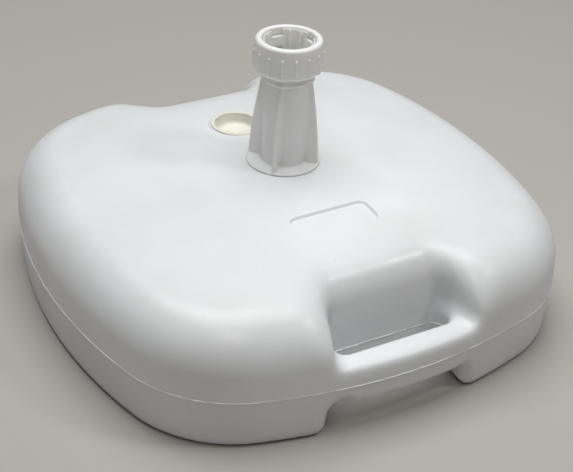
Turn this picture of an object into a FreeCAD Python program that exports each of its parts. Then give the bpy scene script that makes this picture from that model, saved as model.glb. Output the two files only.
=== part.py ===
"""Water-filled base for a patio umbrella, in millimetres.

The origin is the centre of the underside, +Z is up, and the two carrying handles are at -Y and +Y.
A hollow blow-moulded tank carries a finned pole holder in its central well. A slotted wedge collet
sits in the holder's tapered seat, and a threaded clamp nut drives it down to grip the pole.
"""
import FreeCAD, Part
import math
import os

# Tank outline and section
TANK_HALF = 230.0          # centre to the middle of each side, at the mould parting line
CORNER_R = 114.0           # radius of the rounded corners in plan
CORNER_AT = 101.6          # X and Y of the corner arcs' centres
PARTING_Z = 48.4           # height of the mould parting line
CROWN_TOP_Z = 128.5        # highest point of the domed top
CROWN_R = 1500.0           # spherical radius of the domed top
SHOULDER_R = 34.0          # rounding between the top and the sides
SOLE_R = 7.0               # rounding between the sides and the underside
DRAFT_UP = 0.047           # inset per height, above the parting line
DRAFT_DOWN = 0.058         # inset per height, below the parting line
WALL = 3.0                 # blown wall thickness

# Carrying handles: a recess above, a hand slot behind the bar, an arch below
RECESS_BACK_Y = 181.0      # recess back wall at the parting line
RECESS_LEAN = 0.11         # back wall's lean towards the middle of the tank, per height
RECESS_HALF_W = 57.5       # half width at the back wall
RECESS_FLARE = 0.30        # extra half width per distance out from the back wall
RECESS_CORNER_R = 15.0
BAR_TOP_Z = 66.0
RIM_R = 12.0               # rounding where the recess meets the dome, and along the bar's front
SLOT_HALF_W = 56.5
SLOT_DEPTH = 22.5          # from the back wall out to the bar
SLOT_CORNER_R = 10.0
ARCH_X = -6.0              # the front arch's middle; the rear one is the same turned half round
ARCH_HALF_W = 65.0         # at the floor
ARCH_ROOF_HALF_W = 63.0
ARCH_ROOF_Z = 29.5
ARCH_BACK_Y = 170.0
ARCH_CORNER_R = 9.0
UNDERSIDE_INSET = 46.0     # flat rim that the tank stands on
UNDERSIDE_DEPTH = 4.0

# Pole and its holder
BORE_R = 18.3              # for poles up to 36 mm
CORE_R = 20.5
FIT_GAP = 0.3              # holder in its well, collet in its seat
WELL_FLOOR_Z = 8.0
FLANGE_R = 34.1
FLANGE_TOP_Z = 129.8
FLANGE_T = 2.0
HOLDER_FLOOR_T = 2.5
DRAIN_R = 5.0
SNAP_Z = 108.0             # snap bead that holds the holder down in its well
SNAP_H = 0.9
FIN_T = 3.0
FIN_FOOT_R = 33.2
FIN_TOP_R = 23.2
FIN_TOP_Z = 209.0
FIN_BULGE = 1.5            # how far the fin's edge bows out from straight
HEAD_Z = 211.0             # where the neck has widened to the threaded head
HEAD_TOP_Z = 235.5
HEAD_R = 23.8

# Screw thread between the holder's head and the nut
PITCH = 4.0
THREAD_DEPTH = 1.2
THREAD_GAP = 0.4
THREAD_TURNS = 3
THREAD_START_Z = 221.0
RIDGE_BASE = 2.0
RIDGE_CREST = 1.0

# Collet
COLLET_FLOOR_Z = 221.5
COLLET_TOP_Z = 246.4
FINGER_TOP_Z = 231.0       # the gaps between the squeezing fingers end here
COLLET_INNER_R = 19.4
COLLET_FOOT_R = 21.0
COLLET_CONE_R = 22.3
SEAT_TOP_Z = 236.0
COLLAR_R = 24.6
COLLAR_Z = (238.0, 240.5)
CROWN_LIP_R = 22.9
CROWN_T = 1.0              # the crown widens to this thickness at its top, to lead the pole in
COLLET_GAP_DEG = 28.0
COLLET_FINGERS = 4
GRIP_RIB_DEG = 13.5        # each finger's two grip ribs stand this far either side of its middle
GRIP_RIB_T = 1.6

# Clamp nut
NUT_FOOT_Z = 217.6
NUT_FOOT_R = 26.3
NUT_WIDE_Z = 222.8
NUT_WIDE_R = 31.9
NUT_TOP_Z = 248.3
NUT_TOP_R = 29.6
NUT_LIP_R = 2.4
NUT_EYE_R = 23.7
NUT_SHOULDER_Z = 240.9
NUT_BEAD_R = 24.1
NUT_BEAD_Z = (236.8, 237.6)
NUT_RIBS = 16
NUT_RIB_TURN = 0.26        # where the first rib stands, as a share of their spacing
NUT_RIB_T = 1.6
NUT_RIB_H = 0.8
NUT_RIB_Z = (222.8, 239.4)

# Filler neck and its cap
FILL_X = -7.4
FILL_Y = 79.7
NECK_R = 21.6
NECK_T = 2.8
NECK_DEPTH = 16.0
CAP_RIM_R = 24.5
CAP_SEAT_Z = 126.4
CAP_RIM_T = 1.6
CAP_DEPTH = 13.0
CAP_T = 1.8

# Blank label panel
LABEL_SIZE = (75.0, 27.0)
LABEL_AT = (-6.5, -103.8)
LABEL_TURN_DEG = 1.5
LABEL_CORNER_R = 6.0
LABEL_DEPTH = 0.9

SKY_Z = 170.0              # above everything on the tank
DIAGONALS = [45.0 + 90.0 * quarter for quarter in range(4)]


def point(x, y, z=0.0):
    """Short name for a vector."""
    return FreeCAD.Vector(x, y, z)


def cylinder(radius, low, high, x=0.0, y=0.0):
    """Upright cylinder between two heights."""
    return Part.makeCylinder(radius, high - low, point(x, y, low))


def revolve(profile):
    """Solid turned about Z from a closed list of (radius, height)."""
    wire = Part.makePolygon([point(r, 0, z) for r, z in profile + profile[:1]])
    return Part.Face(wire).revolve(point(0, 0, 0), point(0, 0, 1), 360)


def turned(shape, degrees):
    """Copy of a shape turned about the Z axis."""
    copy = shape.copy()
    copy.rotate(point(0, 0, 0), point(0, 0, 1), degrees)
    return copy


def rounded_wire(corners, radius):
    """Closed wire through the corners, each one rounded with a tangent arc."""
    edges = []
    count = len(corners)
    ends = []
    for i, corner in enumerate(corners):
        back = (corners[i - 1] - corner).normalize()
        ahead = (corners[(i + 1) % count] - corner).normalize()
        half_angle = back.getAngle(ahead) / 2
        reach = radius / math.tan(half_angle)
        bisector = (back + ahead).normalize()
        middle = corner + bisector * (radius / math.sin(half_angle) - radius)
        ends.append((corner + back * reach, middle, corner + ahead * reach))
    for i, (start, middle, end) in enumerate(ends):
        edges.append(Part.Arc(start, middle, end).toShape())
        edges.append(Part.LineSegment(end, ends[(i + 1) % count][0]).toShape())
    return Part.Wire(edges)


def tank_outline(inset, z):
    """Plan outline: four bowed sides tangent to four corner arcs, moved inwards by inset."""
    reach = CORNER_AT - TANK_HALF
    side_r = (CORNER_R**2 - reach**2 - CORNER_AT**2) / (2 * (reach + CORNER_R))
    side_at = TANK_HALF - side_r
    join = math.atan2(CORNER_AT, CORNER_AT - side_at)
    edges = []
    for quarter in range(4):
        turn = quarter * math.pi / 2
        arcs = [
            (side_at, 0.0, side_r - inset, -join, join),
            (CORNER_AT, CORNER_AT, CORNER_R - inset, join, math.pi / 2 - join),
        ]
        for x, y, radius, start, end in arcs:
            cos, sin = math.cos(turn), math.sin(turn)
            centre = point(x * cos - y * sin, x * sin + y * cos, z)
            spots = []
            for angle in (start, (start + end) / 2, end):
                spots.append(centre + point(math.cos(angle + turn), math.sin(angle + turn)) * radius)
            edges.append(Part.Arc(*spots).toShape())
    return Part.Wire(edges)


def tank_block(offset):
    """Plain tank without handles or holes, its whole surface moved inwards by offset."""
    levels = [
        (offset, DRAFT_DOWN * (PARTING_Z - offset)),
        (PARTING_Z, 0.0),
        (SKY_Z, DRAFT_UP * (SKY_Z - PARTING_Z)),
    ]
    block = Part.makeLoft([tank_outline(inset + offset, z) for z, inset in levels], True, True)
    dome = Part.makeSphere(CROWN_R - offset, point(0, 0, CROWN_TOP_Z - CROWN_R))
    block = block.common(dome)
    shoulder = [edge for edge in block.Edges if edge.BoundBox.ZMin > PARTING_Z + 10]
    block = block.makeFillet(SHOULDER_R - offset, shoulder)
    sole = [edge for edge in block.Edges if edge.BoundBox.ZMax < offset + 1]
    return block.makeFillet(SOLE_R - offset, sole)


def handle_void(grow):
    """Space of the front handle: recess, hand slot and arch, its surface moved outwards by grow."""
    far_y = -TANK_HALF - 30

    def recess_plan(z):
        back_y = -RECESS_BACK_Y + RECESS_LEAN * (z - PARTING_Z) + grow
        near = RECESS_HALF_W + grow
        far = near + RECESS_FLARE * (back_y - far_y)
        spots = [(-far, far_y), (far, far_y), (near, back_y), (-near, back_y)]
        corners = [point(x, y, z) for x, y in spots]
        return rounded_wire(corners, RECESS_CORNER_R + grow)

    recess = Part.makeLoft([recess_plan(BAR_TOP_Z - grow), recess_plan(SKY_Z)], True, True)
    slot_back = -RECESS_BACK_Y + grow
    slot_front = -RECESS_BACK_Y - SLOT_DEPTH - grow
    half = SLOT_HALF_W + grow
    slot_corners = [
        point(-half, slot_front, -20),
        point(half, slot_front, -20),
        point(half, slot_back, -20),
        point(-half, slot_back, -20),
    ]
    slot_face = Part.Face(rounded_wire(slot_corners, SLOT_CORNER_R + grow))
    slot = slot_face.extrude(point(0, 0, BAR_TOP_Z + 30))
    slope = (ARCH_HALF_W - ARCH_ROOF_HALF_W) / ARCH_ROOF_Z
    low_half = ARCH_HALF_W + slope * 20 + grow
    roof_z = ARCH_ROOF_Z + grow
    arch_corners = [
        point(ARCH_X - low_half, far_y, -20),
        point(ARCH_X + low_half, far_y, -20),
        point(ARCH_X + ARCH_ROOF_HALF_W + grow, far_y, roof_z),
        point(ARCH_X - ARCH_ROOF_HALF_W - grow, far_y, roof_z),
    ]
    arch_face = Part.Face(rounded_wire(arch_corners, ARCH_CORNER_R + grow))
    arch = arch_face.extrude(point(0, -far_y - ARCH_BACK_Y + grow, 0))
    return recess.fuse([slot, arch])


def handle_voids(grow):
    """Both handles' spaces, front and rear."""
    front = handle_void(grow)
    return [front, turned(front, 180)]


def soften_handles(block, grow):
    """Rounds the recesses' rims and the bars' outer top edges of a block cut with handle_voids(grow)."""
    floor_z = BAR_TOP_Z - grow
    edges = []
    for edge in block.Edges:
        box = edge.BoundBox
        across = max(abs(box.XMin), abs(box.XMax))
        out = min(abs(box.YMin), abs(box.YMax))
        at_handle = across < CORNER_AT - 10 and out > ARCH_BACK_Y - 5
        rising = box.ZMin < floor_z + 0.1 and box.ZMax > floor_z + 30
        on_floor = box.ZMax < floor_z + 0.1 and out < TANK_HALF - 15
        if at_handle and box.ZMin > floor_z - 0.1 and not rising and not on_floor:
            edges.append(edge)
    return block.makeFillet(RIM_R - grow, edges)


def underside_panel(grow):
    """Shallow panel that leaves a flat rim to stand on."""
    levels = [-10.0, UNDERSIDE_DEPTH + grow]
    return Part.makeLoft([tank_outline(UNDERSIDE_INSET - grow, z) for z in levels], True, True)


def label_void():
    """Shallow recess that follows the domed top."""
    half_x, half_y = LABEL_SIZE[0] / 2, LABEL_SIZE[1] / 2
    corners = [point(sx * half_x, sy * half_y, 0) for sx, sy in ((-1, -1), (1, -1), (1, 1), (-1, 1))]
    block = Part.Face(rounded_wire(corners, LABEL_CORNER_R)).extrude(point(0, 0, SKY_Z))
    block = turned(block, LABEL_TURN_DEG)
    block.translate(point(LABEL_AT[0], LABEL_AT[1], 0))
    floor = Part.makeSphere(CROWN_R - LABEL_DEPTH, point(0, 0, CROWN_TOP_Z - CROWN_R))
    return block.cut(floor)


def make_tank_shell():
    """Hollow tank with the holder's well and the filler neck moulded in."""
    neck_out = NECK_R + NECK_T
    well_out = CORE_R + FIT_GAP + WALL
    outside = soften_handles(tank_block(0.0).cut(handle_voids(0.0)), 0.0)
    outside = outside.fuse(cylinder(CAP_RIM_R + 2, CAP_SEAT_Z - 10, CAP_SEAT_Z, FILL_X, FILL_Y))
    outside = outside.cut([underside_panel(0.0), label_void()])
    hollow = soften_handles(tank_block(WALL).cut(handle_voids(WALL)), WALL)
    hollow = hollow.cut([
        underside_panel(WALL),
        cylinder(well_out, 0, SKY_Z),
        cylinder(neck_out, CAP_SEAT_Z - NECK_DEPTH, SKY_Z, FILL_X, FILL_Y),
        cylinder(FLANGE_R + 3, FLANGE_TOP_Z - FLANGE_T - WALL, SKY_Z),
    ])
    well = cylinder(CORE_R + FIT_GAP, WELL_FLOOR_Z, SKY_Z)
    groove = cylinder(CORE_R + FIT_GAP + SNAP_H, SNAP_Z - 2, SNAP_Z + 2)
    holder_seat = cylinder(FLANGE_R + 0.5, FLANGE_TOP_Z - FLANGE_T, SKY_Z)
    cap_seat = cylinder(CAP_RIM_R + 0.6, CAP_SEAT_Z, SKY_Z, FILL_X, FILL_Y)
    neck = cylinder(NECK_R, CAP_SEAT_Z - NECK_DEPTH - 5, SKY_Z, FILL_X, FILL_Y)
    return outside.cut([hollow, well, groove, holder_seat, cap_seat, neck])


def helical_ridge(root_r, depth, start_z, turns):
    """Trapezoidal thread ridge; a negative depth points it inwards."""
    overlap = math.copysign(0.4, depth)
    spine = Part.makeHelix(PITCH, PITCH * turns, root_r)
    spine.translate(point(0, 0, start_z))
    corners = [
        point(root_r - overlap, 0, start_z - RIDGE_BASE / 2),
        point(root_r + depth, 0, start_z - RIDGE_CREST / 2),
        point(root_r + depth, 0, start_z + RIDGE_CREST / 2),
        point(root_r - overlap, 0, start_z + RIDGE_BASE / 2),
    ]
    section = Part.makePolygon(corners + corners[:1])
    return Part.Wire(spine.Edges).makePipeShell([section], True, True)


def holder_fin():
    """One upright fin along +X, with a gently bowed outer edge."""
    foot = point(FIN_FOOT_R, -FIN_T / 2, FLANGE_TOP_Z - 0.5)
    head = point(FIN_TOP_R, -FIN_T / 2, FIN_TOP_Z)
    bow = (foot + head) * 0.5 + point(FIN_BULGE, 0, 0)
    inner = CORE_R - 1
    edges = [
        Part.Arc(foot, bow, head).toShape(),
        Part.LineSegment(head, point(inner, -FIN_T / 2, FIN_TOP_Z + 2)).toShape(),
        Part.LineSegment(point(inner, -FIN_T / 2, FIN_TOP_Z + 2), point(inner, -FIN_T / 2, foot.z)).toShape(),
        Part.LineSegment(point(inner, -FIN_T / 2, foot.z), foot).toShape(),
    ]
    return Part.Face(Part.Wire(edges)).extrude(point(0, FIN_T, 0))


def make_pole_holder():
    """Tube that stands in the well, with a flange, four fins and a threaded head with a tapered seat."""
    foot_z = WELL_FLOOR_Z + 0.2
    flange_low = FLANGE_TOP_Z - FLANGE_T
    seat_foot_z = COLLET_FLOOR_Z - 2.5
    seat_slope = (COLLET_CONE_R - COLLET_FOOT_R) / (SEAT_TOP_Z - COLLET_FLOOR_Z)
    seat_foot_r = COLLET_FOOT_R + FIT_GAP - seat_slope * (COLLET_FLOOR_Z - seat_foot_z)
    seat_top_r = COLLET_CONE_R + FIT_GAP + seat_slope * (HEAD_TOP_Z - SEAT_TOP_Z)
    body = revolve([
        (0, foot_z),
        (CORE_R, foot_z),
        (CORE_R, SNAP_Z - 1.5),
        (CORE_R + SNAP_H, SNAP_Z),
        (CORE_R, SNAP_Z + 1.5),
        (CORE_R, flange_low),
        (FLANGE_R - 0.5, flange_low),
        (FLANGE_R, flange_low + 0.5),
        (FLANGE_R, FLANGE_TOP_Z - 0.7),
        (FLANGE_R - 0.7, FLANGE_TOP_Z),
        (CORE_R, FLANGE_TOP_Z),
        (CORE_R, HEAD_Z - 3),
        (HEAD_R, HEAD_Z),
        (HEAD_R, HEAD_TOP_Z),
        (seat_top_r, HEAD_TOP_Z),
        (seat_foot_r, seat_foot_z),
        (0, seat_foot_z),
    ])
    fins = [turned(holder_fin(), angle) for angle in DIAGONALS]
    body = body.fuse(fins + [helical_ridge(HEAD_R, THREAD_DEPTH, THREAD_START_Z, THREAD_TURNS)])
    bore = cylinder(BORE_R, foot_z + HOLDER_FLOOR_T, SKY_Z * 2)
    drain = cylinder(DRAIN_R, 0, SKY_Z)
    return body.cut([bore.common(cylinder(BORE_R, 0, seat_foot_z + 1)), drain])


def collet_wedge(low, high, width_deg):
    """Upright wedge along +X that cuts one gap between fingers."""
    reach = COLLAR_R + 5
    spread = reach * math.tan(math.radians(width_deg / 2))
    corners = [point(0, 0, low), point(reach, -spread, low), point(reach, spread, low)]
    return Part.Face(Part.makePolygon(corners + corners[:1])).extrude(point(0, 0, high - low))


def make_collet():
    """Slotted wedge sleeve: four fingers with grip ribs, joined by a collar the nut bears on."""
    body = revolve([
        (COLLET_INNER_R + 0.7, COLLET_FLOOR_Z),
        (COLLET_FOOT_R, COLLET_FLOOR_Z),
        (COLLET_CONE_R, SEAT_TOP_Z),
        (COLLET_CONE_R, COLLAR_Z[0]),
        (COLLAR_R, COLLAR_Z[0]),
        (COLLAR_R, COLLAR_Z[1]),
        (CROWN_LIP_R, COLLAR_Z[1]),
        (CROWN_LIP_R, COLLET_TOP_Z - 0.4),
        (CROWN_LIP_R - 0.4, COLLET_TOP_Z),
        (CROWN_LIP_R - CROWN_T, COLLET_TOP_Z),
        (COLLET_INNER_R + 0.7, COLLAR_Z[0] - 4),
    ])
    wall_r = COLLET_INNER_R + 1.2
    rib_outline = [
        point(COLLET_INNER_R - 0.5, -GRIP_RIB_T / 2, COLLET_FLOOR_Z + 0.5),
        point(wall_r, -GRIP_RIB_T / 2, COLLET_FLOOR_Z + 0.5),
        point(wall_r, -GRIP_RIB_T / 2, COLLAR_Z[0] - 4),
        point(CROWN_LIP_R - 0.6, -GRIP_RIB_T / 2, COLLET_TOP_Z - 1),
        point(CROWN_LIP_R - CROWN_T - 1, -GRIP_RIB_T / 2, COLLET_TOP_Z - 1),
        point(COLLET_INNER_R - 0.5, -GRIP_RIB_T / 2, COLLAR_Z[0]),
    ]
    rib = Part.Face(Part.makePolygon(rib_outline + rib_outline[:1])).extrude(point(0, GRIP_RIB_T, 0))
    ribs = [turned(rib, angle + side) for angle in DIAGONALS for side in (-GRIP_RIB_DEG, GRIP_RIB_DEG)]
    body = body.fuse(ribs).cut(cylinder(COLLET_INNER_R, 0, SKY_Z * 2))
    cuts = []
    for finger in range(COLLET_FINGERS):
        angle = 90.0 * finger
        cuts.append(turned(collet_wedge(COLLET_FLOOR_Z - 1, FINGER_TOP_Z, COLLET_GAP_DEG), angle))
        cuts.append(turned(collet_wedge(COLLAR_Z[1], COLLET_TOP_Z + 1, COLLET_GAP_DEG), angle))
    return body.cut(cuts)


def make_clamp_nut():
    """Ribbed ring nut with an inner shoulder and a bead that carries the collet up with it."""
    thread_r = HEAD_R + THREAD_DEPTH + THREAD_GAP
    groove_r = COLLAR_R + 0.4
    lip = [(NUT_TOP_R, NUT_TOP_Z - NUT_LIP_R)]
    for step in range(1, 6):
        angle = math.radians(step * 18)
        in_by = NUT_LIP_R * (1 - math.cos(angle))
        down_by = NUT_LIP_R * (1 - math.sin(angle))
        lip.append((NUT_TOP_R - in_by, NUT_TOP_Z - down_by))
    body = revolve([
        (thread_r, NUT_FOOT_Z),
        (NUT_FOOT_R, NUT_FOOT_Z),
        (NUT_WIDE_R, NUT_WIDE_Z),
        *lip,
        (NUT_EYE_R + 1.2, NUT_TOP_Z),
        (NUT_EYE_R, NUT_TOP_Z - 1.2),
        (NUT_EYE_R, NUT_SHOULDER_Z),
        (groove_r, NUT_SHOULDER_Z),
        (groove_r, NUT_BEAD_Z[1]),
        (NUT_BEAD_R, NUT_BEAD_Z[1]),
        (NUT_BEAD_R, NUT_BEAD_Z[0]),
        (thread_r, NUT_BEAD_Z[0] - 0.6),
    ])
    taper = (NUT_WIDE_R - NUT_TOP_R) / (NUT_TOP_Z - NUT_WIDE_Z)
    half = NUT_RIB_T / 2
    ribs = []
    for index in range(NUT_RIBS):
        outline = [
            point(NUT_WIDE_R - 2, -half, NUT_RIB_Z[0] - 1.0),
            point(NUT_WIDE_R - 0.2, -half, NUT_RIB_Z[0] - 1.0),
            point(NUT_WIDE_R + NUT_RIB_H, -half, NUT_RIB_Z[0] + 1.0),
            point(NUT_WIDE_R + NUT_RIB_H - taper * (NUT_RIB_Z[1] - NUT_RIB_Z[0]), -half, NUT_RIB_Z[1] - 0.8),
            point(NUT_WIDE_R - 2, -half, NUT_RIB_Z[1] + 0.4),
        ]
        rib = Part.Face(Part.makePolygon(outline + outline[:1])).extrude(point(0, NUT_RIB_T, 0))
        ribs.append(turned(rib, 360.0 / NUT_RIBS * (index + NUT_RIB_TURN)))
    ridge_z = THREAD_START_Z - PITCH / 2
    ridge = helical_ridge(thread_r, -THREAD_DEPTH, ridge_z, THREAD_TURNS)
    return body.fuse(ribs + [ridge])


def make_filler_cap():
    """Dished push-in plug with a thin rim and two sealing beads."""
    rim_low = CAP_SEAT_Z + 0.05
    rim_top = rim_low + CAP_RIM_T
    plug_r = NECK_R - 0.35
    floor_z = rim_low - CAP_DEPTH
    profile = [
        (0, floor_z),
        (plug_r - 1.5, floor_z),
        (plug_r - 0.6, floor_z + 1.0),
    ]
    for bead_z in (rim_low - 9, rim_low - 5):
        profile += [(plug_r - 0.3, bead_z - 0.8), (plug_r + 0.15, bead_z), (plug_r - 0.3, bead_z + 0.8)]
    profile += [
        (plug_r - 0.3, rim_low),
        (CAP_RIM_R - 0.4, rim_low),
        (CAP_RIM_R, rim_low + 0.5),
        (CAP_RIM_R - 0.4, rim_top),
        (plug_r - 1.2, rim_top),
        (plug_r - CAP_T - 0.4, rim_top - 1.0),
        (plug_r - CAP_T - 1.2, floor_z + CAP_T + 2.0),
        (plug_r - CAP_T - 3.2, floor_z + CAP_T),
        (0, floor_z + CAP_T),
    ]
    cap = revolve(profile)
    cap.translate(point(FILL_X, FILL_Y, 0))
    return cap


def main():
    """Write one STEP file for each piece and print its volume."""
    makers = {
        "tank_shell": make_tank_shell,
        "pole_holder": make_pole_holder,
        "collet": make_collet,
        "clamp_nut": make_clamp_nut,
        "filler_cap": make_filler_cap,
    }
    os.makedirs("parts", exist_ok=True)
    for name, make in makers.items():
        shape = make()
        shape.exportStep(f"parts/{name}.step")
        box = shape.BoundBox
        print(name, "valid", shape.isValid(), "solids", len(shape.Solids))
        print("  volume", round(shape.Volume / 1000, 1), "cm3")
        print("  z", round(box.ZMin, 2), round(box.ZMax, 2), "x", round(box.XMin, 1), round(box.XMax, 1))


main()
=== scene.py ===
import math

import bpy
import numpy as np
from mathutils import Matrix, Vector


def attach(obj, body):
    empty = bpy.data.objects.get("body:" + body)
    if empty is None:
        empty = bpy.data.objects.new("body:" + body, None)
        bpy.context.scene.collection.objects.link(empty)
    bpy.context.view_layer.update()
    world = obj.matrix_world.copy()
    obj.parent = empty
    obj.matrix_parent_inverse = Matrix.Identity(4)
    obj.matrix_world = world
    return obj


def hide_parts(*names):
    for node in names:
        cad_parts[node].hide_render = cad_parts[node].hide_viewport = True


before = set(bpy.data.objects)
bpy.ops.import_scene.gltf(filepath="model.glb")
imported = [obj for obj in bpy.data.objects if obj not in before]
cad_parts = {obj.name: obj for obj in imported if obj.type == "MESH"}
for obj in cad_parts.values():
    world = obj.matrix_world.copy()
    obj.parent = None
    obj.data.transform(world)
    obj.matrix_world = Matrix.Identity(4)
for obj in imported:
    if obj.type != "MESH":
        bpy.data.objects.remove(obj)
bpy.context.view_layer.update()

MM = 0.001

# Every length below is in millimetres, in the row frame: +Z up, handles at -Y and +Y.

# Tank outline and section
TANK_HALF = 230.0          # centre to the middle of each side, at the mould parting line
CORNER_R = 114.0
CORNER_AT = 101.6          # X and Y of the corner arcs' centres
PARTING_Z = 48.4
DRAFT_UP = 0.047
DRAFT_DOWN = 0.058
SHOULDER_R = 35.5
SOLE_R = 7.0
CROWN_TOP_Z = 128.5
CROWN_H = 15.9             # fall of the domed top from its middle to CROWN_REACH
CROWN_REACH = 196.0
CROWN_POWER = 3.0          # how square the dome's level lines are
WALL = 3.0

# Handles
RECESS_BACK = 181.0        # distance of the recess's back wall from the middle, at the parting line
RECESS_LEAN = 0.11
RECESS_HALF_W = 57.5
RECESS_FLARE = 0.30
RECESS_CORNER_R = 22.0
RECESS_FLOOR_R = 11.0
BAR_TOP_Z = 66.0
BAR_EDGE_R = 8.0
RIM_R = 25.0               # soft rounding where the recess meets the domed top
RIM_FULL_Z = 108           # the bar's rounding grows to the rim's by this height
RECESS_SOFT_Z = 105        # the slot's back corners grow to the recess's by this height
SLOT_HALF_W = 56.5
SLOT_OUT = 203.5           # the bar's inner face
SLOT_CORNER_R = 10.0
SLOT_BACK_R = 13.0
ARCH_X = -6.0              # the front arch's middle; the rear one is the same turned half round
ARCH_HALF_W = 65.0
ARCH_ROOF_HALF_W = 63.0
ARCH_ROOF_Z = 29.5
ARCH_BACK = 170.0
ARCH_CORNER_R = 10.0
ARCH_EDGE_R = 5.0           # along the bar's underside
ARCH_MOUTH_R = 15.0         # where the feet's inner faces turn out to the tank's side
ARCH_MOUTH_X = (44, 62)     # the underside's rounding grows to the mouth's between these
UNDERSIDE_INSET = 46.0
UNDERSIDE_DEPTH = 4.0

# Holder
BORE_R = 18.3
CORE_R = 20.5
WELL_R = 20.8
WELL_FLOOR_Z = 8.0
FLANGE_R = 34.1
FLANGE_TOP_Z = 129.8
FLANGE_T = 2.0
FIN_T = 3.0
FIN_FOOT_R = 33.2
FIN_TOP_R = 23.2
FIN_TOP_Z = 209.0
FIN_BULGE = 1.5
HEAD_R = 23.8
HEAD_Z = 211.0
HEAD_TOP_Z = 235.5
PITCH = 4.0
THREAD_DEPTH = 1.2
THREAD_GAP = 0.4
THREAD_START_Z = 221.0
THREAD_TURNS = 3

# Collet
SEAT_FLOOR_Z = 219.0       # the wedge seat in the holder's head
SEAT_R = 20.9
SEAT_SLOPE = 0.0897        # radius gained per height
COLLET_R = 20.1            # inside, between the ribs
COLLET_FLOOR_Z = 221.5
COLLET_TOP_Z = 246.4
COLLET_FOOT_R = 21.0
COLLET_CONE_R = 22.3
CONE_TOP_Z = 236.0
CROWN_FOOT_Z = 234.0       # above this the inside widens towards the lip
COLLAR_R = 24.6
COLLAR_Z = (238.0, 240.5)
CROWN_LIP_R = 22.9
CROWN_LIP_T = 1.0
CROWN_FLARE = 0.145        # radius that the ribs' backs gain per height
GAP_START_Z = 215.0        # below the collet, so that the gaps are open at its foot
FINGER_TOP_Z = 231.0       # the gaps between the squeezing fingers end here
COLLET_GAP_DEG = 28
GRIP_RIB_DEG = 13.5        # each finger's ribs stand this far either side of its middle
GRIP_RIB_T = 1.6
GRIP_RIB_R = 19.4
GRIP_RIB_Z = (222.0, 245.4)

# Clamp nut
NUT_FOOT_Z = 217.6
NUT_FOOT_R = 26.3
NUT_FOOT_SLOPE = 1.077     # radius gained per height along the chamfered foot
NUT_SCALLOP = 0.4          # how far the foot dips between the ribs
NUT_WIDE_Z = 222.8
NUT_WIDE_R = 31.9
NUT_TOP_Z = 248.3
NUT_TOP_R = 29.6
NUT_LIP_R = 2.6
NUT_EYE_R = 23.7
NUT_SHOULDER_Z = 240.9
NUT_GROOVE_R = 25.0
NUT_BEAD_R = 24.1
NUT_BEAD_Z = (236.8, 237.6)
NUT_RIBS = 16
NUT_RIB_TURN = 0.26        # where the first rib stands, as a share of their spacing
NUT_RIB_T = 1.6
NUT_RIB_H = 0.8
NUT_RIB_Z = (222.0, 239.4)
NUT_PIP_Z = 238.2          # small round bead at each rib's top
NUT_PIP_R = 1.35

# Filler neck and cap
FILL_X = -7.4
FILL_Y = 79.7
NECK_R = 21.6
NECK_T = 2.8
NECK_DEPTH = 16.0
CAP_SEAT_Z = 126.4
CAP_RIM_R = 24.5
CAP_RIM_T = 1.6
CAP_DEPTH = 13.0
CAP_DISH_R = 18.6          # at the dish's floor
CAP_DISH_FLARE = 0.13
CAP_FLOOR_T = 3.4

# Label panel
LABEL_SIZE = (75.0, 27.0)
LABEL_AT = (-6.5, -103.8)
LABEL_TURN = math.radians(1.5)
LABEL_CORNER_R = 6.0
LABEL_DEPTH = 1.8
LABEL_SLOPE = 1.5


# Mesh grids
TANK_CELL = 3.0
CAVITY_CELL = 6.5
SLOT_MIDDLE = 192.0        # distance from the middle of the tank to the middle of a hand slot

# Noise scales of the plastic, per metre
DRIFT_SCALE = 9.0
SPECK_SCALE = 420.0
GLOSS_SCALE = 34.0
GRAIN_SCALE = 650.0
WAVE_SCALE = 22.0

# Camera
CAMERA_TURN = (-30.14, 32.44, 2.98)    # azimuth, elevation and roll, in degrees
CAMERA_AIM = (-14.9, -18.0, 71.9)
CAMERA_DISTANCE = 1161.7


# ---------------------------------------------------------------- distance fields

def round_max(a, b, radius):
    """Intersection of two distance fields, its outer edge rounded."""
    corner = np.hypot(np.maximum(a + radius, 0), np.maximum(b + radius, 0))
    return np.minimum(-radius, np.maximum(a, b)) + corner


def round_min(a, b, radius):
    """Union of two distance fields, its inner corner filled."""
    return -round_max(-a, -b, radius)


def ease_max(a, b, radius):
    """Intersection of two fields whose edge eases in, about as deep as a fillet of this radius."""
    reach = 1.757 * radius
    share = np.maximum(reach - np.abs(a - b), 0) / reach
    return np.maximum(a, b) + reach / 6 * share**3


def blend_step(value, low, high):
    """0 below low, 1 above high, smooth between."""
    t = np.clip((value - low) / (high - low), 0, 1)
    return t * t * (3 - 2 * t)


def profile_field(r, z, points):
    """Signed distance to a closed profile of (radius, height) turned about Z."""
    best = np.full(np.shape(r), np.inf)
    inside = np.zeros(np.shape(r), bool)
    for (r0, z0), (r1, z1) in zip(points, points[1:] + points[:1]):
        dr, dz = r1 - r0, z1 - z0
        t = np.clip(((r - r0) * dr + (z - z0) * dz) / (dr * dr + dz * dz), 0, 1)
        best = np.minimum(best, np.hypot(r - r0 - t * dr, z - z0 - t * dz))
        if dz:
            crosses = (z >= min(z0, z1)) & (z < max(z0, z1))
            inside ^= crosses & (r < r0 + (z - z0) / dz * dr)
    return np.where(inside, -best, best)


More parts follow.
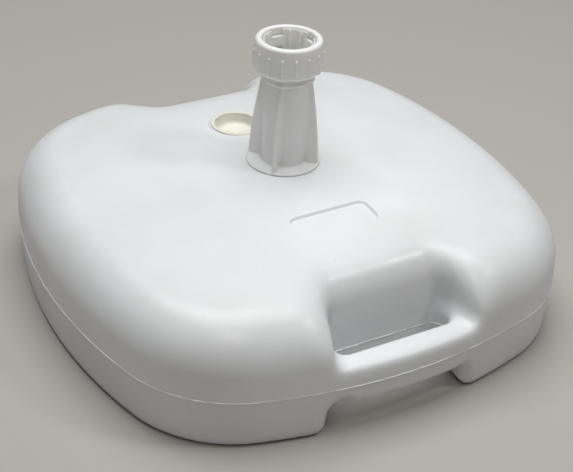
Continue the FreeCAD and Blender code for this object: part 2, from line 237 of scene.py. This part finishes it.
def side_field(x, y):
    """Distance outside the tank's plan outline: bowed sides tangent to corner arcs."""
    reach = CORNER_AT - TANK_HALF
    side_r = (CORNER_R**2 - reach**2 - CORNER_AT**2) / (2 * (reach + CORNER_R))
    side_at = TANK_HALF - side_r
    join = math.atan2(CORNER_AT, CORNER_AT - side_at)
    x, y = np.abs(x), np.abs(y)
    sides = np.maximum(np.hypot(x - side_at, y), np.hypot(x, y - side_at)) - side_r
    corner = np.hypot(x - CORNER_AT, y - CORNER_AT) - CORNER_R
    angle = np.arctan2(y - CORNER_AT, x - CORNER_AT)
    return np.where((angle > join) & (angle < math.pi / 2 - join), corner, sides)


def crown_height(x, y):
    """Height of the domed top, with the faint waves that a blown wall cools to."""
    square = (np.abs(x)**CROWN_POWER + np.abs(y)**CROWN_POWER)**(1 / CROWN_POWER)
    waves = 0.25 * np.sin(x / 31.0 + 1.3) * np.cos(y / 37.0 - 0.4) + 0.15 * np.sin((x + 0.7 * y) / 19.0)
    return CROWN_TOP_Z - CROWN_H * (square / CROWN_REACH)**2 + waves * blend_step(np.hypot(x, y), 40, 90)


def handle_void(x, y, z):
    """Recess and hand slot of both handles."""
    x, out = np.abs(x), np.abs(y)
    back = RECESS_BACK - RECESS_LEAN * (z - PARTING_Z)
    wall = (back - out) / math.hypot(1, RECESS_LEAN)
    sides = (x - RECESS_HALF_W - RECESS_FLARE * (out - back)) / math.hypot(1, RECESS_FLARE)
    recess = round_max(sides, BAR_TOP_Z - z, RECESS_FLOOR_R)
    slot = round_max(x - SLOT_HALF_W, out - SLOT_OUT, SLOT_CORNER_R)
    corner = SLOT_BACK_R + (RECESS_CORNER_R - SLOT_BACK_R) * blend_step(z, BAR_TOP_Z, RECESS_SOFT_Z)
    return round_max(round_min(recess, slot, BAR_EDGE_R), wall, corner)


def arch_void(x, y, z):
    """Arches under both handles."""
    rise = math.hypot(ARCH_ROOF_Z, ARCH_HALF_W - ARCH_ROOF_HALF_W)
    lean = (ARCH_HALF_W - ARCH_ROOF_HALF_W) * (z - ARCH_ROOF_Z)
    across = np.abs(x + ARCH_X * np.sign(y))
    sides = ((across - ARCH_ROOF_HALF_W) * ARCH_ROOF_Z + lean) / rise
    section = round_max(sides, z - ARCH_ROOF_Z, ARCH_CORNER_R)
    return round_max(section, ARCH_BACK - np.abs(y), ARCH_CORNER_R)


def tank_field(x, y, z):
    """Outside of the tank as one solid, without the well and the neck."""
    above = z > PARTING_Z
    inset = np.where(above, DRAFT_UP, -DRAFT_DOWN) * (z - PARTING_Z)
    side = side_field(x, y)
    body = round_max(side + inset, z - crown_height(x, y), SHOULDER_R)
    body = round_max(body, -z, SOLE_R)
    edge = BAR_EDGE_R + (RIM_R - BAR_EDGE_R) * blend_step(z, BAR_TOP_Z + 5, RIM_FULL_Z)
    body = ease_max(body, -handle_void(x, y, z), edge)
    mouth = ARCH_EDGE_R + (ARCH_MOUTH_R - ARCH_EDGE_R) * blend_step(np.abs(x), *ARCH_MOUTH_X)
    body = round_max(body, -arch_void(x, y, z), mouth)
    panel = round_max(side + UNDERSIDE_INSET, z - UNDERSIDE_DEPTH, 2)
    return round_max(body, -panel, 3)


def cavity_field(x, y, z):
    """Water space inside the tank's wall, clear of the well and the neck."""
    space = tank_field(x, y, z) + WALL
    space = round_max(space, WELL_R + WALL - np.hypot(x, y), 2)
    collar = np.hypot(x - FILL_X, y - FILL_Y) - NECK_R - NECK_T
    collar = np.maximum(collar, CAP_SEAT_Z - NECK_DEPTH - z)
    return np.maximum(space, -collar)


def helix_field(x, y, z, root_r, depth):
    """Trapezoidal thread ridge; a negative depth points it inwards."""
    start = THREAD_START_Z if depth > 0 else THREAD_START_Z - PITCH / 2
    turn = np.arctan2(y, x) / (2 * math.pi) % 1.0
    climb = z - start - PITCH * turn
    lap = np.clip(np.round(climb / PITCH), 0, THREAD_TURNS - 1)
    along = np.abs(climb - lap * PITCH)
    out = (np.hypot(x, y) - root_r) * math.copysign(1, depth)
    flank = (along - 1.0 + 0.5 * out / abs(depth)) * 0.92
    return np.maximum(flank, np.maximum(out - abs(depth), -out - 0.6))


def holder_field(x, y, z):
    """Finned pole holder with its flange, neck, threaded head and bore."""
    r = np.hypot(x, y)
    foot = WELL_FLOOR_Z + 0.2
    low = FLANGE_TOP_Z - FLANGE_T
    outer_r = CORE_R + (HEAD_R - CORE_R) * blend_step(z, HEAD_Z - 2.5, HEAD_Z + 0.5)
    stem = round_max(r - outer_r, np.maximum(foot - z, z - HEAD_TOP_Z), 0.6)
    flange = round_max(r - FLANGE_R, np.abs(z - (low + FLANGE_TOP_Z) / 2) - FLANGE_T / 2, 0.8)
    body = round_min(stem, flange, 2.0)
    along, across = (np.abs(x) + np.abs(y)) / math.sqrt(2), np.abs(np.abs(x) - np.abs(y)) / math.sqrt(2)
    t = np.clip((z - FLANGE_TOP_Z) / (FIN_TOP_Z - FLANGE_TOP_Z), 0, 1.3)
    fin_r = FIN_FOOT_R + (FIN_TOP_R - FIN_FOOT_R) * t + 4 * FIN_BULGE * t * (1 - t)
    fin = round_max(across - FIN_T / 2, along - fin_r, 1.1)
    fin = np.maximum(fin, np.maximum(low + 1 - z, z - FIN_TOP_Z - 1))
    body = round_min(body, fin, 1.2 + 3.8 * blend_step(z, FLANGE_TOP_Z, FLANGE_TOP_Z + 14))
    body = np.minimum(body, helix_field(x, y, z, HEAD_R, THREAD_DEPTH))
    bore = np.maximum(r - BORE_R, foot + 2.5 - z)
    seat = r - (SEAT_R + (z - SEAT_FLOOR_Z) * SEAT_SLOPE)
    bore = np.minimum(bore, np.maximum(seat, SEAT_FLOOR_Z - z))
    bore = np.minimum(bore, r - 5.0)
    return round_max(body, -bore, 0.5)


def collet_field(x, y, z):
    """Slotted wedge sleeve with a collar and two grip ribs on each finger."""
    r = np.hypot(x, y)
    low, high = COLLAR_Z
    ring = profile_field(r, z, [
        (COLLET_R, COLLET_FLOOR_Z), (COLLET_FOOT_R - 0.2, COLLET_FLOOR_Z),
        (COLLET_FOOT_R, COLLET_FLOOR_Z + 0.3), (COLLET_CONE_R, CONE_TOP_Z), (COLLET_CONE_R, low),
        (COLLAR_R - 0.3, low), (COLLAR_R, low + 0.3), (COLLAR_R, high - 0.3), (COLLAR_R - 0.3, high),
        (CROWN_LIP_R, high), (CROWN_LIP_R, COLLET_TOP_Z - 0.4), (CROWN_LIP_R - 0.4, COLLET_TOP_Z),
        (CROWN_LIP_R - CROWN_LIP_T, COLLET_TOP_Z), (COLLET_R, CROWN_FOOT_Z),
    ])
    angle = np.arctan2(y, x)
    finger = (angle % (math.pi / 2)) - math.pi / 4
    from_rib = r * np.sin(np.abs(np.abs(finger) - math.radians(GRIP_RIB_DEG)))
    flare = CROWN_FLARE * np.maximum(z - CROWN_FOOT_Z, 0)
    proud = GRIP_RIB_R + 0.2 * np.maximum(z - low, 0)
    rib = round_max(from_rib - GRIP_RIB_T / 2, np.maximum(proud - r, r - COLLET_R - 0.7 - flare), 0.35)
    rib_low, rib_high = GRIP_RIB_Z
    rib = round_max(rib, np.abs(z - (rib_low + rib_high) / 2) - (rib_high - rib_low) / 2, 0.5)
    body = round_min(ring, rib, 0.3)
    half_gap = COLLET_GAP_DEG / 2
    gap = r * np.sin(math.radians(45 - half_gap) - np.abs(finger))
    gap = np.where(np.abs(finger) > math.radians(45 - half_gap - 15), gap, 9.0)
    height = np.maximum(z - FINGER_TOP_Z, GAP_START_Z - z)
    slots = round_max(gap, np.minimum(height, high - z), 0.5)
    return round_max(body, -slots, 0.5)


def nut_field(x, y, z):
    """Clamp nut: tapered ring with upright ribs, chamfered foot, rounded lip, shoulder and thread."""
    r = np.hypot(x, y)
    angle = np.arctan2(y, x)
    rib_step = 2 * math.pi / NUT_RIBS
    swing = ((angle / rib_step - NUT_RIB_TURN + 0.5) % 1.0 - 0.5) * rib_step
    wall_r = NUT_WIDE_R - (z - NUT_WIDE_Z) * (NUT_WIDE_R - NUT_TOP_R) / (NUT_TOP_Z - NUT_WIDE_Z)
    foot_r = NUT_FOOT_R + (z - NUT_FOOT_Z) * NUT_FOOT_SLOPE + NUT_SCALLOP * np.cos(NUT_RIBS * swing)
    outer = round_max(r - wall_r, (r - foot_r) * 0.68, 0.8)
    outer = round_max(outer, z - NUT_TOP_Z, NUT_LIP_R)
    outer = round_max(outer, NUT_FOOT_Z - z, 0.5)
    across = np.abs(r * np.sin(swing)) - NUT_RIB_T / 2
    rib = round_max(across, r - wall_r - NUT_RIB_H, 0.6)
    rib_low, rib_high = NUT_RIB_Z
    rib = round_max(rib, np.abs(z - (rib_low + rib_high) / 2) - (rib_high - rib_low) / 2, 0.9)
    pip = np.sqrt((r * np.sin(swing))**2 + (r - wall_r - 0.1)**2 + (z - NUT_PIP_Z)**2) - NUT_PIP_R
    rib = np.minimum(rib, pip)
    rib = np.maximum(rib, NUT_WIDE_R - 3.9 - r)
    outer = round_min(outer, rib, 0.5)
    thread_r = HEAD_R + THREAD_DEPTH + THREAD_GAP
    bead_low, bead_high = NUT_BEAD_Z
    inside = profile_field(r, z, [
        (0, NUT_FOOT_Z - 5.6), (thread_r + 1.0, NUT_FOOT_Z - 0.6), (thread_r, NUT_FOOT_Z + 0.8),
        (thread_r, bead_low - 0.6), (NUT_BEAD_R, bead_low), (NUT_BEAD_R, bead_high),
        (NUT_GROOVE_R, bead_high), (NUT_GROOVE_R, NUT_SHOULDER_Z), (NUT_EYE_R, NUT_SHOULDER_Z),
        (NUT_EYE_R, NUT_TOP_Z - 1.3),
        (NUT_EYE_R + 1.5, NUT_TOP_Z + 0.9), (NUT_EYE_R + 1.5, 255), (0, 255),
    ])
    body = round_max(outer, -inside, 0.7)
    return np.minimum(body, helix_field(x, y, z, thread_r, -THREAD_DEPTH))


def cap_field(x, y, z):
    """Dished push-in plug with a thin rim and two sealing beads."""
    r = np.hypot(x - FILL_X, y - FILL_Y)
    low = CAP_SEAT_Z + 0.05
    floor = low - CAP_DEPTH
    outer = round_max(r - NECK_R + 0.65, np.maximum(floor - z, z - low - 1.0), 1.6)
    rim = round_max(r - CAP_RIM_R, np.abs(z - low - CAP_RIM_T / 2) - CAP_RIM_T / 2, 0.75)
    body = np.minimum(outer, rim)
    for bead in (low - 9, low - 5):
        body = np.minimum(body, np.hypot(np.maximum(r - NECK_R + 0.75, 0), z - bead) - 0.9)
    wall_r = CAP_DISH_R + (z - floor) * CAP_DISH_FLARE
    dish = round_max(r - wall_r, floor + CAP_FLOOR_T - z, 3.2)
    return round_max(body, -dish, 0.7)


# ---------------------------------------------------------------- meshes

def settle(field, points, cell, rounds=3):
    """Points moved along the field's slope onto its zero surface."""
    step = 0.05 * cell
    for _ in range(rounds):
        value = field(*points.T)
        slope = np.stack([
            (field(*(points + offset).T) - field(*(points - offset).T)) / (2 * step)
            for offset in np.eye(3) * step
        ], axis=1)
        size = np.maximum((slope**2).sum(axis=1), 0.05)
        move = -slope * (value / size)[:, None]
        length = np.linalg.norm(move, axis=1, keepdims=True)
        points = points + move * np.minimum(1, 0.5 * cell / np.maximum(length, 1e-9))
    return points


def relax(points, faces):
    """Each point moved halfway to the middle of its neighbours."""
    total = np.zeros_like(points)
    count = np.zeros(len(points))
    for a, b in ((0, 1), (1, 2), (2, 3), (3, 0)):
        for near, far in ((a, b), (b, a)):
            for axis in range(3):
                total[:, axis] += np.bincount(faces[:, near], points[faces[:, far], axis], len(points))
            count += np.bincount(faces[:, near], minlength=len(points))
    return 0.5 * points + 0.5 * total / count[:, None]


def skin(field, low, high, cell):
    """Quad mesh of a field's zero surface, one point in each grid cell that it crosses."""
    axes = [np.arange(a - 2.3 * cell, b + 2.3 * cell, cell) for a, b in zip(low, high)]
    value = field(*np.meshgrid(*axes, indexing="ij"))
    inside = value < 0
    cells = tuple(n - 1 for n in value.shape)
    total = np.zeros(cells + (3,))
    hits = np.zeros(cells)
    for axis in range(3):
        others = [a for a in range(3) if a != axis]
        start = np.moveaxis(value, axis, 0)[:-1]
        end = np.moveaxis(value, axis, 0)[1:]
        crossed = (start < 0) != (end < 0)
        share = np.where(crossed, start / np.where(crossed, start - end, 1), 0)
        for first in (0, 1):
            for second in (0, 1):
                rows = slice(first, cells[others[0]] + first)
                columns = slice(second, cells[others[1]] + second)
                spot = (slice(None), rows, columns)
                mask = np.moveaxis(crossed[spot], 0, axis)
                hits += mask
                total[..., axis] += np.moveaxis(share[spot], 0, axis)
                total[..., others[0]] += mask * first
                total[..., others[1]] += mask * second
    active = hits > 0
    index = np.full(cells, -1)
    index[active] = np.arange(active.sum())
    corner = np.stack(np.nonzero(active), axis=1)
    origin = np.array([a[0] for a in axes])
    points = origin + cell * (corner + total[active] / hits[active][:, None])
    faces = []
    for axis in range(3):
        order = (axis, (axis + 1) % 3, (axis + 2) % 3)
        side = inside.transpose(order)
        near = side[:-1, 1:-1, 1:-1]
        far = side[1:, 1:-1, 1:-1]
        table = index.transpose(order)
        for found, turn in ((near & ~far, 1), (far & ~near, -1)):
            i, j, k = np.nonzero(found)
            ring = [table[i, j, k], table[i, j + 1, k], table[i, j + 1, k + 1], table[i, j, k + 1]]
            quad = np.stack(ring, 1)
            faces.append(quad[:, ::turn])
    faces = np.concatenate(faces)
    points = settle(field, points, cell)
    for _ in range(2):
        points = settle(field, relax(points, faces), cell, rounds=2)
    return points, faces


def mesh_object(name, points, faces):
    """New object from points in millimetres."""
    mesh = bpy.data.meshes.new(name)
    corners = [list(face) for face in np.asarray(faces, dtype=object)]
    mesh.from_pydata((np.asarray(points) * MM).tolist(), [], corners)
    mesh.validate()
    thing = bpy.data.objects.new(name, mesh)
    bpy.context.scene.collection.objects.link(thing)
    return thing


def lathe(name, profile, x=0.0, y=0.0, steps=128):
    """Closed solid turned about an upright axis from a profile that starts and ends on it."""
    points, faces = [(x, y, profile[0][1])], []
    rings = profile[1:-1]
    for r, z in rings:
        for step in range(steps):
            angle = 2 * math.pi * step / steps
            points.append((x + r * math.cos(angle), y + r * math.sin(angle), z))
    points.append((x, y, profile[-1][1]))
    last = len(points) - 1
    for step in range(steps):
        ahead = (step + 1) % steps
        faces.append((0, 1 + ahead, 1 + step))
        for ring in range(len(rings) - 1):
            base = 1 + ring * steps
            faces.append((base + step, base + ahead, base + steps + ahead, base + steps + step))
        base = 1 + (len(rings) - 1) * steps
        faces.append((base + step, base + ahead, last))
    return mesh_object(name, points, faces)


def combine(piece, tool, operation):
    """Adds the tool to the piece or cuts it away, and removes the tool."""
    modifier = piece.modifiers.new(operation, "BOOLEAN")
    modifier.operation = operation
    modifier.solver = "MANIFOLD"
    modifier.object = tool
    result = piece.evaluated_get(bpy.context.evaluated_depsgraph_get())
    mesh = bpy.data.meshes.new_from_object(result)
    piece.modifiers.clear()
    piece.data = mesh
    bpy.data.objects.remove(tool)


def smooth(piece, degrees):
    """Smooth shading, with creases only where faces meet more sharply than this."""
    piece.data.shade_smooth()
    piece.data.set_sharp_from_angle(angle=math.radians(degrees))


def label_outline(grow):
    """Rounded panel's corner points, moved outwards by grow."""
    points = []
    radius = LABEL_CORNER_R + grow
    for sx, sy, start in ((1, 1, 0), (-1, 1, 90), (-1, -1, 180), (1, -1, 270)):
        for step in range(9):
            angle = math.radians(start + 90 * step / 8)
            points.append((sx * (LABEL_SIZE[0] / 2 - LABEL_CORNER_R) + radius * math.cos(angle),
                           sy * (LABEL_SIZE[1] / 2 - LABEL_CORNER_R) + radius * math.sin(angle)))
    return np.array(points)


def label_tool():
    """Rounded panel whose floor follows the dome; its walls lean outwards a little."""
    floor = label_outline(0.0)
    cosine, sine = math.cos(LABEL_TURN), math.sin(LABEL_TURN)
    turn = np.array([[cosine, sine], [-sine, cosine]])
    rings = [(floor * share, -LABEL_DEPTH) for share in np.linspace(0, 1, 9)[1:]]
    rings += [(label_outline(LABEL_SLOPE), 0.0), (label_outline(LABEL_SLOPE + 0.3), 0.5)]
    rings.append((label_outline(LABEL_SLOPE + 0.3), 12.0))
    points, faces = [], []
    centre = np.array(LABEL_AT)
    points.append((*centre, crown_height(*centre) - LABEL_DEPTH))
    for ring, lift in rings:
        flat = ring @ turn + centre
        heights = crown_height(flat[:, 0], flat[:, 1]) + lift
        points += [(px, py, pz) for (px, py), pz in zip(flat, heights)]
    count = len(floor)
    for i in range(count):
        ahead = (i + 1) % count
        faces.append((0, 1 + ahead, 1 + i))
        for ring in range(len(rings) - 1):
            base = 1 + ring * count
            faces.append((base + i, base + ahead, base + count + ahead, base + count + i))
    top = 1 + (len(rings) - 1) * count
    faces.append(tuple(top + i for i in range(count)))
    return mesh_object("label_tool", points, faces)


def parting_loop(centre, inwards):
    """Closed line where the tank's surface crosses the parting height, seen from a centre."""
    angle = np.linspace(0, 2 * math.pi, 720, endpoint=False)
    ways = np.stack([np.cos(angle), np.sin(angle)], 1)
    reach = np.arange(300.0, 0, -1.0) if inwards else np.arange(1.0, 120.0, 1.0)
    spots = np.array(centre) + ways[:, None, :] * reach[None, :, None]
    solid = tank_field(spots[..., 0], spots[..., 1], np.full(spots.shape[:2], PARTING_Z)) < 0
    hit = solid.argmax(axis=1)
    outside, inside = reach[hit - 1], reach[hit]
    for _ in range(14):
        middle = (outside + inside) / 2
        spot = np.array(centre) + ways * middle[:, None]
        within = tank_field(spot[:, 0], spot[:, 1], np.full(len(spot), PARTING_Z)) < 0
        inside = np.where(within, middle, inside)
        outside = np.where(within, outside, middle)
    return np.array(centre) + ways * outside[:, None]


def flash_line(name, loop):
    """Thin raised line of mould flash along a loop, a little uneven in height."""
    step = 0.2
    probe = [tank_field(loop[:, 0] + dx, loop[:, 1] + dy, np.full(len(loop), PARTING_Z))
             for dx, dy in ((step, 0), (-step, 0), (0, step), (0, -step))]
    out = np.stack([probe[0] - probe[1], probe[2] - probe[3]], 1)
    out /= np.linalg.norm(out, axis=1, keepdims=True)
    draw = np.random.default_rng(11)
    height = np.full(len(loop), 0.55)
    for width, share in ((5, 0.3), (45, 0.9)):
        rough = np.convolve(np.tile(draw.normal(size=len(loop)), 3), np.ones(width) / width, "same")
        height += share * rough[len(loop):2 * len(loop)]
    height = np.clip(height, 0.12, 1.2)
    section = [(-1.2, -0.9), (0.0, -0.7), (1.0, -0.2), (1.0, 0.2), (0.0, 0.7), (-1.2, 0.9)]
    points, faces = [], []
    for spot, way, tall in zip(loop, out, height):
        for away, rise in section:
            reach = away * tall if away > 0 else away
            points.append((spot[0] + way[0] * reach, spot[1] + way[1] * reach, PARTING_Z + rise))
    size, count = len(section), len(loop)
    for i in range(count):
        ahead = (i + 1) % count
        for j in range(size):
            k = (j + 1) % size
            faces.append((i * size + j, ahead * size + j, ahead * size + k, i * size + k))
    return mesh_object(name, points, faces)


# ---------------------------------------------------------------- materials

def plastic(name, colour, shade, roughness, grain, waves, glow):
    """Moulded plastic: faint colour drift, uneven gloss, fine grain and soft sink waves."""
    material = bpy.data.materials.new(name)
    material.use_nodes = True
    nodes, links = material.node_tree.nodes, material.node_tree.links
    shader = nodes["Principled BSDF"]
    where = nodes.new("ShaderNodeTexCoord").outputs["Object"]

    def noise(scale, detail):
        node = nodes.new("ShaderNodeTexNoise")
        node.inputs["Scale"].default_value = scale
        node.inputs["Detail"].default_value = detail
        links.new(where, node.inputs["Vector"])
        return node.outputs["Fac"]

    def spread(value, low, high, start=0.3, end=0.7):
        node = nodes.new("ShaderNodeMapRange")
        for key, number in (("From Min", start), ("From Max", end), ("To Min", low), ("To Max", high)):
            node.inputs[key].default_value = number
        links.new(value, node.inputs["Value"])
        return node.outputs["Result"]

    def mix(share, first, second):
        node = nodes.new("ShaderNodeMix")
        node.data_type = "RGBA"
        links.new(share, node.inputs["Factor"])
        for socket, value in ((node.inputs["A"], first), (node.inputs["B"], second)):
            if isinstance(value, tuple):
                socket.default_value = (*value, 1)
            else:
                links.new(value, socket)
        return node.outputs["Result"]

    drift = mix(spread(noise(DRIFT_SCALE, 3.0), 0.0, 1.0, 0.42, 0.8), colour, shade)
    specks = spread(noise(SPECK_SCALE, 2.0), 0.0, 0.35, 0.66, 0.78)
    links.new(mix(specks, drift, tuple(0.8 * c for c in shade)), shader.inputs["Base Color"])
    gloss = spread(noise(GLOSS_SCALE, 4.0), roughness - 0.05, roughness + 0.07)
    links.new(gloss, shader.inputs["Roughness"])
    fine = nodes.new("ShaderNodeBump")
    fine.inputs["Distance"].default_value = grain
    fine.inputs["Strength"].default_value = 0.6
    links.new(noise(GRAIN_SCALE, 3.0), fine.inputs["Height"])
    soft = nodes.new("ShaderNodeBump")
    soft.inputs["Distance"].default_value = waves
    soft.inputs["Strength"].default_value = 0.5
    links.new(noise(WAVE_SCALE, 1.0), soft.inputs["Height"])
    links.new(fine.outputs["Normal"], soft.inputs["Normal"])
    links.new(soft.outputs["Normal"], shader.inputs["Normal"])
    shader.inputs["IOR"].default_value = 1.5
    shader.inputs["Subsurface Weight"].default_value = glow
    shader.inputs["Subsurface Radius"].default_value = (1.0, 0.95, 0.85)
    shader.inputs["Subsurface Scale"].default_value = 0.006
    return material


def floor_material():
    """Plain pale floor with a trace of tone."""
    material = bpy.data.materials.new("pale_floor")
    material.use_nodes = True
    nodes, links = material.node_tree.nodes, material.node_tree.links
    shader = nodes["Principled BSDF"]
    noise = nodes.new("ShaderNodeTexNoise")
    noise.inputs["Scale"].default_value = 3.0
    tone = nodes.new("ShaderNodeMix")
    tone.data_type = "RGBA"
    tone.inputs["A"].default_value = (0.435, 0.41, 0.38, 1)
    tone.inputs["B"].default_value = (0.465, 0.44, 0.41, 1)
    links.new(noise.outputs["Fac"], tone.inputs["Factor"])
    links.new(tone.outputs["Result"], shader.inputs["Base Color"])
    shader.inputs["Roughness"].default_value = 0.8
    return material


# ---------------------------------------------------------------- pieces

def finish_piece(piece, material, body, node, crease):
    """Gives a piece its material and smooth shading, hangs it under its CAD body, and hides the CAD part
    that it stands for.
    """
    piece.data.materials.clear()
    piece.data.materials.append(material)
    smooth(piece, crease)
    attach(piece, body)
    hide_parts(node)
    return piece


def build_tank(material):
    """Hollow tank skin with its well, neck, cap seat, label recess and mould line."""
    coarse = 1.0
    half = TANK_HALF + 1
    low, high = (-half, -half, 0), (half, half, CROWN_TOP_Z)
    tank = mesh_object("tank_skin", *skin(tank_field, low, high, TANK_CELL * coarse))
    for name, loop in (
        ("flash_outer", parting_loop((0, 0), True)),
        ("flash_front", parting_loop((0, -SLOT_MIDDLE), False)),
        ("flash_rear", parting_loop((0, SLOT_MIDDLE), False)),
    ):
        combine(tank, flash_line(name, loop), "UNION")
    pad = lathe("pad_tool", [
        (0, 112), (CAP_RIM_R + 2.0, 112), (CAP_RIM_R + 2.0, CAP_SEAT_Z - 0.5),
        (CAP_RIM_R + 1.5, CAP_SEAT_Z), (0, CAP_SEAT_Z),
    ], FILL_X, FILL_Y)
    combine(tank, pad, "UNION")
    combine(tank, label_tool(), "DIFFERENCE")
    cavity = mesh_object("cavity", *skin(cavity_field, low, high, CAVITY_CELL * coarse))
    combine(tank, cavity, "DIFFERENCE")
    neck = lathe("neck_tool", [
        (0, 100), (NECK_R, 100), (NECK_R, CAP_SEAT_Z - 0.4), (NECK_R + 0.4, CAP_SEAT_Z),
        (CAP_RIM_R + 0.6, CAP_SEAT_Z), (CAP_RIM_R + 0.6, 140), (0, 140),
    ], FILL_X, FILL_Y)
    combine(tank, neck, "DIFFERENCE")
    seat_z = FLANGE_TOP_Z - FLANGE_T
    well = lathe("well_tool", [
        (0, WELL_FLOOR_Z), (WELL_R, WELL_FLOOR_Z), (WELL_R, seat_z - 0.05),
        (FLANGE_R + 0.4, seat_z - 0.05), (FLANGE_R + 0.4, 140), (0, 140),
    ])
    combine(tank, well, "DIFFERENCE")
    return finish_piece(tank, material, "base", "tank_shell", 32)


def build_small_parts(white, collet_cream, cap_cream):
    """Holder, collet, nut and cap, each from its own field."""
    coarse = 1.0
    cap_low = (FILL_X - CAP_RIM_R, FILL_Y - CAP_RIM_R, 113.0)
    cap_high = (FILL_X + CAP_RIM_R, FILL_Y + CAP_RIM_R, 128.5)
    jobs = [
        ("pole_holder_skin", holder_field, (-35, -35, 8), (35, 35, 236), 0.95,
         white, "base", "pole_holder", "holder_white"),
        ("collet_skin", collet_field, (-25, -25, 221), (25, 25, 247), 0.5,
         collet_cream, "clamp_collet", "collet", "collet_cream"),
        ("clamp_nut_skin", nut_field, (-33, -33, 217), (33, 33, 249), 0.6,
         white, "nut", "clamp_nut", "holder_white"),
        ("filler_cap_skin", cap_field, cap_low, cap_high, 0.6,
         cap_cream, "cap", "filler_cap", "cap_cream"),
    ]
    for name, field, low, high, cell, material, body, node, slot in jobs:
        piece = mesh_object(name, *skin(field, low, high, cell * coarse))
        finish_piece(piece, material, body, node, 40)


# ---------------------------------------------------------------- stage

def build_floor():
    """Wide pale floor under the object."""
    mesh = bpy.data.meshes.new("floor")
    reach = 6.0
    corners = [(-reach, -reach, 0), (reach, -reach, 0), (reach, reach, 0), (-reach, reach, 0)]
    mesh.from_pydata(corners, [], [(0, 1, 2, 3)])
    floor = bpy.data.objects.new("floor", mesh)
    floor.data.materials.append(floor_material())
    bpy.context.scene.collection.objects.link(floor)


def area_light(name, place, aim, size, power, colour):
    """Soft square light at a place in metres, turned towards a point."""
    data = bpy.data.lights.new(name, "AREA")
    data.size = size
    data.energy = power
    data.color = colour
    light = bpy.data.objects.new(name, data)
    light.location = place
    light.rotation_euler = (Vector(aim) - Vector(place)).to_track_quat("-Z", "Y").to_euler()
    bpy.context.scene.collection.objects.link(light)


def build_lights():
    """Overhead studio light with a dim room around it."""
    for name, azimuth, elevation, distance, size, power, colour in (
        ("ceiling", 90, 84, 2.6, 2.0, 57, (0.985, 0.995, 1.0)),
        ("lamp_front_right", -41, 50, 2.4, 0.35, 8.5, (1.0, 0.99, 0.97)),
        ("lamp_front", -120, 55, 2.4, 0.5, 6.5, (1.0, 0.99, 0.98)),
        ("lamp_left", -164, 43, 2.4, 0.35, 1.2, (0.98, 0.99, 1.0)),
        ("lamp_back_right", 48, 40, 2.4, 0.45, 2.0, (1.0, 0.99, 0.97)),
        ("lamp_back_left", 118, 62, 2.4, 0.35, 2.5, (0.98, 0.99, 1.0)),
    ):
        a, e = math.radians(azimuth), math.radians(elevation)
        way = Vector((math.cos(a) * math.cos(e), math.sin(a) * math.cos(e), math.sin(e)))
        area_light(name, way * distance, (0, 0, 0.12), size, power, colour)
    world = bpy.data.worlds.new("room")
    world.use_nodes = True
    sky = world.node_tree.nodes["Background"]
    sky.inputs["Color"].default_value = (0.96, 0.97, 1.0, 1)
    sky.inputs["Strength"].default_value = 0.015
    bpy.context.scene.world = world
    bpy.context.scene.view_settings.view_transform = "Standard"


def build_camera():
    """Camera above the front left corner, rolled a little, looking down on the tank."""
    azimuth, elevation, roll = (math.radians(v) for v in CAMERA_TURN)
    back = Vector((math.sin(azimuth) * math.cos(elevation), -math.cos(azimuth) * math.cos(elevation),
                   math.sin(elevation)))
    right = Vector((math.cos(azimuth), math.sin(azimuth), 0))
    up = back.cross(right)
    across = right * math.cos(roll) + up * math.sin(roll)
    upright = -right * math.sin(roll) + up * math.cos(roll)
    data = bpy.data.cameras.new("camera")
    data.sensor_width = 36.0
    data.lens = 78.93
    data.shift_x = 0.0195
    data.shift_y = -0.0226
    camera = bpy.data.objects.new("camera", data)
    place = (Vector(CAMERA_AIM) + back * CAMERA_DISTANCE) * MM
    turn = Matrix((across, upright, back)).transposed().to_4x4()
    camera.matrix_world = Matrix.Translation(place) @ turn
    bpy.context.scene.collection.objects.link(camera)
    bpy.context.scene.camera = camera


def main():
    """Builds the pieces, the stage and the camera."""
    white = plastic("tank_white", (0.80, 0.815, 0.825), (0.735, 0.742, 0.74), 0.34, 0.00010, 0.0005, 0.12)
    holder = plastic("holder_white", (0.87, 0.87, 0.855), (0.85, 0.845, 0.83), 0.33, 0.00005, 0.0001, 0.5)
    collet = plastic("collet_cream", (0.94, 0.93, 0.865), (0.92, 0.905, 0.83), 0.34, 0.00005, 0.0001, 0.6)
    cap = plastic("cap_cream", (0.80, 0.79, 0.70), (0.77, 0.755, 0.66), 0.30, 0.00005, 0.0001, 0.15)
    build_tank(white)
    build_small_parts(holder, collet, cap)
    build_floor()
    build_lights()
    build_camera()


main()
